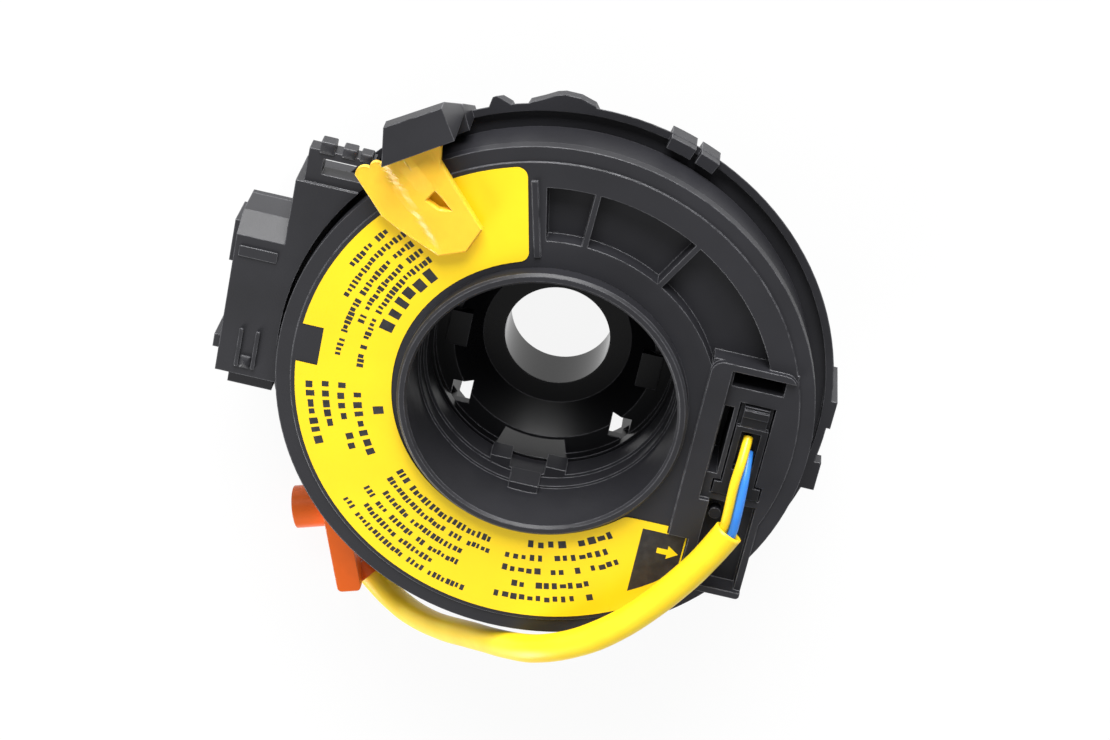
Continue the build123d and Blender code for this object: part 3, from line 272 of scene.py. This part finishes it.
BLOCK_CORNER = 0.3
for block_name, block_x, block_y, block_z, block_lift in (
    ("ear_bump_1", (-40.3, -37.9), (-51.6, -48.7), (33.2, 36.3), 0.3),
    ("ear_bump_2", (-39.9, -37.9), (-47.3, -44.6), (33.2, 36.2), 0.3),
    ("ear_bump_3", (-39.6, -37.9), (-43.9, -41.5), (33.2, 36.1), 0.3),
    ("latch_rail_1", (1.8, 10.2), (-60.9, -60.1), (36.3, 37.1), 0.0),
    ("latch_rail_2", (1.8, 10.2), (-57.6, -56.8), (36.3, 37.1), 0.0),
    ("latch_ramp", (7.6, 10.3), (-59.9, -57.8), (36.3, 36.9), 0.5),
    ("block_step", (-15.6, -13.4), (-63.6, -56.0), (36.3, 36.8), 0.0),
):
    plate(block_name, rounded_block(*block_x, *block_y, BLOCK_CORNER), (sum(block_x) / 2, sum(block_y) / 2),
          *block_z, case_black, "case", "case_plastic", block_lift)

# Rotor moulding: round face, tray and well, whose tube is the cable's drum, in one black injection
# moulding that is a little darker and duller than the case.
rotor_black = moulded("rotor_black", (0.022, 0.022, 0.026), (0.20, 0.20, 0.215), 0.44)
dress(rotor_black, "rotor_disc", "rotor_drum")

# Hub: a smooth black acetal moulding that snaps into the well from behind and carries the shaft bore,
# its cone and the windows. The bore's wall is polished.
BORE_POLISH_R = 10.8 * MM
# Its colour is set much darker than the rotor's: painted shade for the bottom of the well, where it sits.
hub_black = moulded("hub_black", (0.004, 0.004, 0.005), (0.13, 0.13, 0.145), 0.30, 0.006 * MM, BORE_POLISH_R)
dress(hub_black, "rotor_hub")

# Label: a yellow printed film, stuck on the face round the well. Its sheen is slightly cloudy, from
# the glue under it.
label_paint = new_paint("label_yellow")
label_cloud = label_paint.noise(scale=90, detail=3)
label_grain = label_paint.noise(scale=1800, detail=2, offset=0.2)
label_yellow = label_paint.finish(
    Base_Color=label_paint.blend(
        label_cloud.ramp(0.3, 0.7), (1.0, 0.71, 0.010, 1), (0.97, 0.66, 0.008, 1)),
    Roughness=0.36 + 0.14 * (label_grain - 0.5) + 0.08 * (label_cloud - 0.5),
    Normal=label_paint.bump(label_grain + 3 * label_cloud, 0.01 * MM),
)
dress(label_yellow, "label_sticker")

# Print on the label: four blocks of text lines as rows of plain bars that can't be read, which run
# round the well as the real lines do, and a black panel with an arrow. Ink, a film's breadth thick.
INK_LOW = 42.145
INK_HIGH = 42.175
ARROW_LOW = 42.165
ARROW_HIGH = 42.195
ink_paint = new_paint("label_ink")
ink_cloud = ink_paint.noise(scale=700, detail=3)
label_ink = ink_paint.finish(
    Base_Color=ink_paint.blend(
        ink_cloud.ramp(0.35, 0.75), (0.016, 0.015, 0.017, 1), (0.034, 0.031, 0.030, 1)),
    Roughness=0.42 + 0.12 * (ink_cloud - 0.5),
)


def arc_slabs(name, arcs, low, high, material):
    """Closed slabs on the face, in millimetres. Each row of arcs gives a start and end angle and a near
    and far radius, and the eight corners go from one to the other of each."""
    start, end, near, far = np.asarray(arcs, dtype=float).T[:, :, None]
    turn = np.array([0, 1, 1, 0, 0, 1, 1, 0])
    reach = np.array([0, 0, 1, 1, 0, 0, 1, 1])
    angle = np.radians(start + (end - start) * turn)
    radius = near + (far - near) * reach
    height = np.broadcast_to(np.repeat((low, high), 4), radius.shape)
    points = np.stack((radius * np.cos(angle), radius * np.sin(angle), height), axis=-1).reshape(-1, 3)
    sides = np.array([(1, 2, 3, 0), (7, 6, 5, 4), (4, 5, 1, 0), (5, 6, 2, 1), (6, 7, 3, 2), (7, 4, 0, 3)])
    faces = (sides[None, :, :] + 8 * np.arange(len(start))[:, None, None]).reshape(-1, 4)
    return surface_piece(name, MM * points, faces.tolist(), material, "rotor", smooth=False)


# Each line of the print: its radius, first and last angle, the height of its bars and their mean width
PRINT_LINES = (
    (33.4, -130.0, -101.5, 2.7, 1.9), (36.1, -132.2, -87.0, 1.3, 0.75), (38.3, -131.8, -101.3, 1.3, 0.75),
    (40.6, -131.0, -89.3, 1.3, 0.75), (43.0, -131.0, -106.8, 1.3, 0.75), (45.4, -127.9, -114.6, 1.3, 0.75),
    (32.2, -73.6, -64.0, 2.6, 2.2), (36.4, -81.8, -55.7, 1.7, 1.5), (39.4, -81.5, -55.7, 1.7, 1.5),
    (42.4, -81.5, -67.6, 1.7, 1.5), (45.6, -81.2, -60.9, 1.7, 1.5),
    (33.0, -48.1, -6.1, 1.5, 0.8), (35.6, -47.3, -5.6, 1.3, 0.75), (38.2, -43.9, -13.5, 1.3, 0.75),
    (40.8, -48.0, -12.7, 1.3, 0.75), (43.2, -43.6, -19.3, 1.3, 0.75), (45.8, -47.7, -8.7, 1.3, 0.75),
    (32.0, -0.9, 38.7, 1.6, 1.4), (35.2, -0.8, 37.0, 1.4, 1.2), (38.2, -0.8, 36.0, 1.4, 1.2),
    (41.5, 2.8, 25.3, 1.4, 1.2), (44.6, -1.3, 25.1, 1.4, 1.2),
)
BAR_PITCH = 1.32         # from bar to bar, as a share of their mean width
BAR_WIDTHS = (0.66, 1.12)
BAR_TOPS = (0.36, 0.5, 0.5)
BAR_FEET = (0.5, 0.5, 0.3)
WORD_GAPS = 0.11         # share of bars that are left out between words
dice = np.random.default_rng(7)
bars = []
for line_r, line_start, line_end, bar_h, bar_w in PRINT_LINES:
    count = int(np.radians(line_end - line_start) * line_r / (BAR_PITCH * bar_w))
    edges = line_start + (line_end - line_start) * np.arange(count) / count
    width = np.degrees(bar_w / line_r) * dice.uniform(*BAR_WIDTHS, count)
    top = line_r + bar_h * dice.choice(BAR_TOPS, count)
    foot = line_r - bar_h * dice.choice(BAR_FEET, count)
    words = dice.random(count) > WORD_GAPS
    bars.append(np.stack((edges, edges + width, foot, top), axis=-1)[words])
arc_slabs("label_lines", np.concatenate(bars), INK_LOW, INK_HIGH, label_ink)

PANEL = ((22.6, 24.9), (37.4, 24.9), (35.9, 27.2), (34.1, 29.6), (31.2, 32.6), (30.2, 33.5), (22.6, 33.5))
PANEL_MIDDLE = (27.0, 29.0)
ARROW = ((26.7, 32.9), (25.2, 30.7), (26.1, 30.7), (26.1, 28.6), (27.3, 28.6), (27.3, 30.7), (28.2, 30.7))
ARROW_MIDDLE = (26.7, 30.9)
plate("label_panel", PANEL, PANEL_MIDDLE, INK_LOW, INK_HIGH, label_ink, "rotor", "label_film")
plate("label_arrow", ARROW, ARROW_MIDDLE, ARROW_LOW, ARROW_HIGH, label_yellow, "rotor", "label_film")

# Plug in the tray with its locking tab: smooth black nylon, pushed in over the pins of the cable's
# inner terminal, which the tab then holds.
plug_black = moulded("plug_black", (0.008, 0.008, 0.010), (0.11, 0.11, 0.125), 0.42, 0.008 * MM)
dress(plug_black, "lead_plug", "plug_lock")


# Wires: a yellow and a blue one, soft vinyl over stranded copper, crimped in the plug and led up and
# over into the sleeve.
def vinyl(name, colour, shade, roughness):
    """Soft coloured plastic: a faint cloudiness, a fine grain and a slightly uneven sheen."""
    paint = new_paint(name)
    cloud = paint.noise(scale=140, detail=3)
    grain = paint.noise(scale=2600, detail=2, offset=0.3)
    return paint.finish(
        Base_Color=paint.blend(cloud.ramp(0.3, 0.75), (*colour, 1), (*shade, 1)),
        Roughness=roughness + 0.16 * (grain - 0.5),
        Normal=paint.bump(grain + 0.6 * cloud, 0.03 * MM),
        Subsurface_Weight=0.12,
        Subsurface_Scale=MM,
    )


def route_curve(name, points, depth=0.0):
    """A smooth line steered by the route's points, with round insulation where a depth is given."""
    curve = bpy.data.curves.new(name, "CURVE")
    curve.dimensions = "3D"
    curve.resolution_u = 16
    curve.render_resolution_u = 16
    curve.bevel_depth = depth
    curve.bevel_resolution = 5
    curve.use_fill_caps = depth > 0
    spline = curve.splines.new("NURBS")
    spline.points.add(len(points) - 1)
    for point, place in zip(spline.points, points):
        point.co = (*(MM * value for value in place), 1)
    spline.order_u = 3
    spline.use_endpoint_u = True
    return bpy.data.objects.new(name, curve)


WIRE_R = 0.95 * MM
YELLOW_ROUTE = (
    (-1.6, 40.4, 40.8), (1.6, 40.1, 44.6), (6.0, 39.6, 46.2), (11.0, 39.8, 46.8),
    (16.6, 39.95, 47.1), (24.0, 36.05, 47.95), (29.8, 32.4, 48.25),
)
BLUE_ROUTE = (
    (1.5, 41.2, 40.8), (4.2, 41.4, 44.2), (8.4, 41.6, 46.0), (13.0, 41.75, 46.7),
    (18.0, 41.7, 47.15), (24.6, 38.05, 47.95), (31.0, 34.15, 48.3),
)
for wire_name, wire_route, wire_length, wire_colour, wire_shade in (
    ("wire_yellow", YELLOW_ROUTE, 0.034, (1.0, 0.70, 0.02), (0.93, 0.60, 0.01)),
    ("wire_blue", BLUE_ROUTE, 0.032, (0.045, 0.26, 0.82), (0.035, 0.21, 0.70)),
):
    wire = route_curve(f"{wire_name}_skin", wire_route, WIRE_R)
    bpy.context.scene.collection.objects.link(wire)
    wire.data.materials.append(vinyl(f"{wire_name}_vinyl", wire_colour, wire_shade, 0.34))
    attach(wire, "rotor")
    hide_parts(wire_name)

# Sleeve: a limp yellow vinyl tube over both wires, which goes over the face's edge and down to the
# airbag plug on the floor. It is open where the wires go in.
SLEEVE_R = 2.8 * MM
SLEEVE_BORE_R = 2.3 * MM
SLEEVE_SAG = 0.06        # how much wider than round it lies, and how much lower
SLEEVE_BREATH = 0.02     # how far its radius breathes


def route_points(name, points):
    """The places along a route's smooth line."""
    line = route_curve(name, points)
    mesh = bpy.data.meshes.new_from_object(line)
    places = np.empty(len(mesh.vertices) * 3)
    mesh.vertices.foreach_get("co", places)
    bpy.data.meshes.remove(mesh)
    bpy.data.objects.remove(line)
    return places.reshape(-1, 3)


def carried_frames(path):
    """Sideways and upward unit vectors along a path that is never upright: the sideways one is the
    path's direction crossed with Z."""
    ahead = np.gradient(path, axis=0)
    ahead /= np.linalg.norm(ahead, axis=1, keepdims=True)
    aside = np.cross(ahead, (0.0, 0.0, 1.0))
    aside /= np.linalg.norm(aside, axis=1, keepdims=True)
    return aside, np.cross(aside, ahead)


def sleeve_wall(path, radius):
    """Rings round the path. The radius breathes by a wave that runs along and round, as strong as a
    second wave's square. Sag makes each ring wider and as much lower."""
    aside, upward = carried_frames(path)
    turn = np.linspace(0, 2 * np.pi, 33)[:-1][None, :, None]
    along = np.linspace(0, 1, len(path))[:, None, None]
    reach = radius * (1 - SLEEVE_BREATH * np.sin(37 * along + 2 * turn) * np.sin(23 * along) ** 2)
    return (path[:, None, :] + reach * (1 + SLEEVE_SAG) * np.cos(turn) * aside[:, None, :]
            + reach * (1 - SLEEVE_SAG) * np.sin(turn) * upward[:, None, :])


def grid_piece(name, points, material, body, smooth=True):
    """Makes a piece of a grid of points (rows, columns, 3) that is joined round both ways."""
    rows, columns = points.shape[:2]
    row = np.arange(rows)[:, None]
    column = np.arange(columns)[None, :]
    below, beside = (row + 1) % rows, (column + 1) % columns
    here, under = row * columns, below * columns
    corners = (here + column, under + column, under + beside, here + beside)
    faces = np.stack(np.broadcast_arrays(*corners), axis=-1).reshape(-1, 4)
    return surface_piece(name, points.reshape(-1, 3), faces.tolist(), material, body, smooth)


SLEEVE_ROUTE = (
    (16.3, 41.0, 47.0), (22.8, 38.0, 48.1), (30.5, 33.3, 48.5), (39.6, 27.0, 48.5),
    (47.3, 19.2, 48.2), (53.0, 10.4, 46.4), (57.8, 3.4, 39.8), (62.8, -3.4, 31.2),
    (68.6, -10.6, 22.0), (72.6, -17.6, 12.6), (72.6, -24.0, 6.4), (68.9, -29.2, 4.6),
)
sleeve_path = route_points("sleeve_route", SLEEVE_ROUTE)
sleeve_walls = np.concatenate((
    sleeve_wall(sleeve_path, SLEEVE_R), sleeve_wall(sleeve_path, SLEEVE_BORE_R)[::-1]))
sleeve_vinyl = vinyl("sleeve_vinyl", (1.0, 0.72, 0.02), (0.96, 0.64, 0.01), 0.40)
sleeve = grid_piece("lead_sleeve_skin", sleeve_walls, sleeve_vinyl, "rotor")
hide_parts("lead_sleeve")

# Airbag plug and its lock: glossy orange nylon mouldings on the lead's end, which lies on what the
# case stands on.
squib_orange = moulded("squib_orange", (1.0, 0.16, 0.010), (1.0, 0.34, 0.12), 0.34, 0.006 * MM)
dress(squib_orange, "squib_plug", "squib_lock")

# Stopper: an amber moulding that locks the rotor for delivery, a plate with three finger lobes, a
# pointed window and a low ridge that stiffens it towards its tongue. It goes in last.
STOPPER_TURN = 42.3      # its u axis points inwards along this direction, in degrees
STOPPER_LOW = 43.6
STOPPER_HIGH = 45.2      # low enough for the sleeve to pass over when the rotor has turned
STOPPER_BEVEL = 0.35
STOPPER_RIDGE = 0.5      # height of the ridge
STOPPER_FOLD = 0.45      # depth of the fold beside the lobes


def rays_to(outline, middle, directions):
    """How far rays from a middle run, in their directions, to a star-shaped outline round it: the
    nearest place where a ray crosses a side, between the side's ends."""
    first = np.array(outline) - middle
    side = np.roll(first, -1, axis=0) - first
    ray = np.column_stack((np.cos(directions), np.sin(directions)))
    spread = ray[:, None, 0] * side[None, :, 1] - ray[:, None, 1] * side[None, :, 0]
    spread = np.where(np.abs(spread) < 1e-12, 1e-12, spread)
    reach = (first[None, :, 0] * side[None, :, 1] - first[None, :, 1] * side[None, :, 0]) / spread
    share = (first[None, :, 0] * ray[:, None, 1] - first[None, :, 1] * ray[:, None, 0]) / spread
    hit = (reach > 0) & (share >= -1e-9) & (share <= 1 + 1e-9)
    return np.where(hit, reach, np.inf).min(axis=1)


def fade(start, end, value):
    """From 0 at the start to 1 at the end, straight between and level outside them."""
    return np.clip((value - start) / (end - start), 0, 1)


def stopper_top(u, v):
    """The rise of the stopper's top over its plane. A ridge with a roof-shaped section follows a
    slanting line from the tongue to the window, and the edge beside the lobes folds down."""
    ridge_v = 6.2 + 0.12 * (u + 48)
    ridge = fade(3.4, 0, np.abs(v - ridge_v)) * fade(-44.5, -49.5, u) * fade(-56.2, -54.6, u)
    fold = fade(0.6, -0.6, v) * fade(-36, -40, u)
    return STOPPER_RIDGE * ridge - STOPPER_FOLD * fold


def stopper_skin(outline, window, middle):
    """A plate round a window. Each column is a ray from the window's middle, and its rows go from the
    outline's foot over the top to the window's foot. The grid joins them underneath."""
    corners = np.concatenate((np.array(outline) - middle, np.array(window) - middle))
    directions = np.unique(np.concatenate((
        np.arctan2(corners[:, 1], corners[:, 0]), np.linspace(-np.pi, np.pi, 121)[1:])))
    far = rays_to(outline, middle, directions)[:, None]
    near = rays_to(window, middle, directions)[:, None]
    share = np.linspace(0, 1, 9)[None, 1:-1]
    inward = np.concatenate((
        far, far, far - STOPPER_BEVEL, far - STOPPER_BEVEL - (far - near - 2 * STOPPER_BEVEL) * share,
        near + STOPPER_BEVEL, near, near), axis=1).T
    u = middle[0] + inward * np.cos(directions)
    v = middle[1] + inward * np.sin(directions)
    z = np.full(inward.shape, STOPPER_HIGH)
    z[[0, -1]] = STOPPER_LOW
    z[[1, -2]] = STOPPER_HIGH - STOPPER_BEVEL
    z[2:-2] += stopper_top(u, v)[2:-2]
    axis = np.radians(STOPPER_TURN)
    x = u * np.cos(axis) - v * np.sin(axis)
    y = u * np.sin(axis) + v * np.cos(axis)
    return MM * np.stack((x, y, z), axis=-1)


STOPPER_MIDDLE = (-46.0, 4.7)
lobes = [(-55.2, -6.0)]
for lobe_middle, lobe_r, lobe_from, lobe_to in (
    ((-56.9, -4.5), 1.85, 235, 118), ((-57.1, -1.85), 1.3, 236, 116), ((-56.75, 0.7), 1.1, 232, 122),
):
    lobe_turn = np.radians(np.linspace(lobe_from, lobe_to, 9))
    lobe = np.column_stack((np.cos(lobe_turn), np.sin(lobe_turn)))
    lobes += (lobe_middle + lobe_r * lobe).tolist()
STOPPER_OUTLINE = (
    *lobes, (-56.9, 2.0), (-57.2, 3.6), (-60.4, 3.6), (-60.4, 11.6), (-56.4, 11.6), (-54.8, 11.2),
    (-52.4, 9.5), (-37.1, 9.3), (-34.7, 4.3), (-36.5, -0.8), (-44.2, -4.4), (-48.5, -6.0),
)
STOPPER_WINDOW = ((-47.2, 3.2), (-48.0, 5.6), (-43.4, 6.2), (-44.6, 4.4))
stopper_paint = new_paint("stopper_amber")
stopper_cloud = stopper_paint.noise(scale=160, detail=2)
stopper_grain = stopper_paint.noise(scale=1500, detail=2, offset=0.4)
stopper_round = stopper_paint.rounded(0.25 * MM)
# Every edge is painted a lighter amber: a painted highlight.
stopper_edge_highlight = stopper_paint.edge(stopper_round).ramp(0.01, 0.25)
stopper_tone = stopper_paint.blend(
    stopper_cloud.ramp(0.35, 0.7), (1.0, 0.60, 0.035, 1), (0.97, 0.53, 0.028, 1))
stopper_amber = stopper_paint.finish(
    Base_Color=stopper_paint.blend(0.7 * stopper_edge_highlight, stopper_tone, (1.0, 0.74, 0.16, 1)),
    Roughness=0.32 + 0.10 * (stopper_cloud - 0.5) + 0.08 * (stopper_grain - 0.5),
    Normal=stopper_paint.bump(stopper_grain + 2 * stopper_cloud, 0.015 * MM, stopper_round),
    Subsurface_Weight=0.25,
    Subsurface_Scale=2 * MM,
)
stopper = grid_piece(
    "stopper_skin", stopper_skin(STOPPER_OUTLINE, STOPPER_WINDOW, STOPPER_MIDDLE)[::-1],
    stopper_amber, "stopper", smooth=False)
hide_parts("stopper")

# Floor and light: a white studio floor under the case, which keeps a soft shadow, a white sky, a large
# soft box over the far side and a weaker one on the near side.
FLOOR_Z = -0.62 * MM
FLOOR_HALF = 4.0
floor_paint = new_paint("studio_floor")
camera_ray, glossy_ray, clear_ray = [
    floor_paint.node("ShaderNodeLightPath", output=f"Is {kind} Ray")
    for kind in ("Camera", "Glossy", "Transmission")]
seen = floor_paint.maths("MINIMUM", camera_ray + glossy_ray + clear_ray, 1.0)
floor_shader = floor_paint.node("ShaderNodeMixShader", {}, {
    0: 0.9 * seen,
    1: floor_paint.node("ShaderNodeBsdfDiffuse", {}, {"Color": (0.9, 0.9, 0.9, 1)}),
    2: floor_paint.node("ShaderNodeEmission", {}, {"Color": (1, 1, 1, 1), "Strength": 1.0}),
})
floor_paint.node("ShaderNodeOutputMaterial", {}, {"Surface": floor_shader})
floor_mesh = bpy.data.meshes.new("studio_floor")
floor_corners = [(FLOOR_HALF * x, FLOOR_HALF * y, FLOOR_Z) for x, y in ((-1, -1), (1, -1), (1, 1), (-1, 1))]
floor_mesh.from_pydata(floor_corners, [], [(0, 1, 2, 3)])
floor_mesh.materials.append(floor_paint.owner)
floor = bpy.data.objects.new("studio_floor", floor_mesh)
bpy.context.scene.collection.objects.link(floor)

SKY_LIGHT = 0.40         # what the sky gives to the object, where the camera sees it at 1
sky_paint = Paint(bpy.data.worlds.new("studio"))
sky_level = sky_paint.node("ShaderNodeMapRange", {}, {
    "Value": sky_paint.node("ShaderNodeLightPath", output="Is Camera Ray"),
    "To Min": SKY_LIGHT, "To Max": 1.0})
sky = sky_paint.node("ShaderNodeBackground", {}, {"Color": (1, 1, 1, 1), "Strength": sky_level})
sky_paint.node("ShaderNodeOutputWorld", {}, {"Surface": sky})
bpy.context.scene.world = sky_paint.owner

for lamp_name, lamp_place, lamp_size, lamp_watts in (
    ("far_softbox", (-1.05, -0.12, 0.52), 0.75, 26.0),
    ("near_softbox", (0.80, -0.50, 0.38), 0.5, 8.0),
):
    lamp_data = bpy.data.lights.new(lamp_name, "AREA")
    lamp_data.size = lamp_size
    lamp_data.energy = lamp_watts
    lamp = bpy.data.objects.new(lamp_name, lamp_data)
    bpy.context.scene.collection.objects.link(lamp)
    back = np.array(lamp_place) / np.linalg.norm(lamp_place)
    side = np.cross((0.0, 0.0, 1.0), back)
    side /= np.linalg.norm(side)
    lamp.matrix_world = Matrix.Translation(lamp_place) @ Matrix(
        (side.tolist(), np.cross(back, side).tolist(), back.tolist())).transposed().to_4x4()

# Camera: solved from the ellipses of the face, the well and the bore. It looks down on the face from
# the side of the pockets, 27 degrees off the steering axis, with the picture's top towards -X.
CAMERA_PLACE = (-0.2318, -0.00136, 0.48844)
CAMERA_RIGHT = (-0.2011, 0.9748, -0.0961)
CAMERA_UP = (-0.8703, -0.2229, -0.4392)
CAMERA_BACK = (-0.4496, -0.0046, 0.8932)
camera_data = bpy.data.cameras.new("camera")
camera_data.sensor_width = 36.0
camera_data.lens = 84.32
camera_data.clip_start = 0.01
camera = bpy.data.objects.new("camera", camera_data)
bpy.context.scene.collection.objects.link(camera)
camera.matrix_world = Matrix.Translation(CAMERA_PLACE) @ Matrix(
    (CAMERA_RIGHT, CAMERA_UP, CAMERA_BACK)).transposed().to_4x4()
bpy.context.scene.camera = camera
bpy.context.scene.view_settings.view_transform = "Standard"
